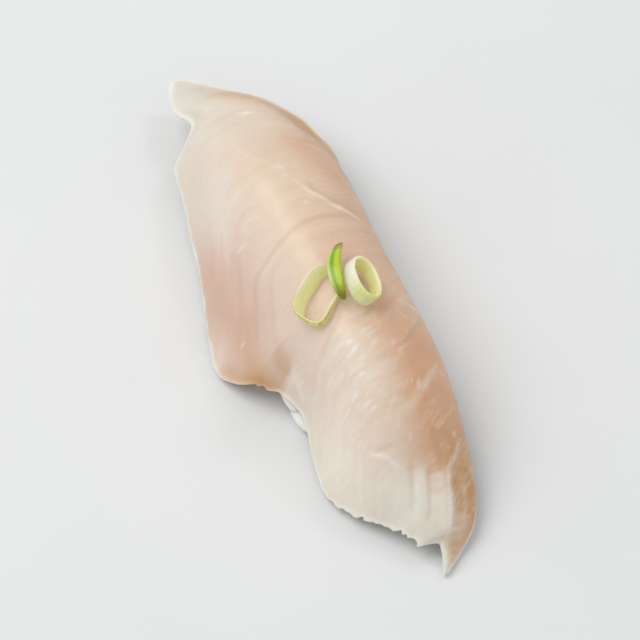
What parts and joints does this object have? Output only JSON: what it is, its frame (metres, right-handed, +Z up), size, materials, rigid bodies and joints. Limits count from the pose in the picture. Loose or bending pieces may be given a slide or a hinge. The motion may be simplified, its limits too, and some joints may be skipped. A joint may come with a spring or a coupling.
{
  "type": "albacore nigiri",
  "caption": "Albacore nigiri: a wide raw slice draped over a pressed rice ball, topped with cut scallion rings and a green curl.",
  "frame": {"origin": "the middle of the rice ball's flat underside, on which it rests", "axes": "+X along the slice from its blunt tail corner to its torn head, +Y to the side without the lobe, +Z up"},
  "size_m": [0.1005, 0.0344, 0.028],
  "materials": {
    "albacore": "moist satin raw fish, pale cream to pink, with fine muscle lines",
    "cooked_rice": "cooked short-grain rice, slightly glossy and translucent",
    "scallion_pale": "pale yellow-green cut scallion, moist",
    "scallion_white": "white to pale green cut scallion, moist",
    "scallion_green": "bright green scallion leaf, moist"
  },
  "bodies": {
    "root": {"albacore_slice": "albacore", "rice_ball": "cooked_rice", "scallion_oval": "scallion_pale", "scallion_ring": "scallion_white", "scallion_curl": "scallion_green"}
  },
  "joints": []
}
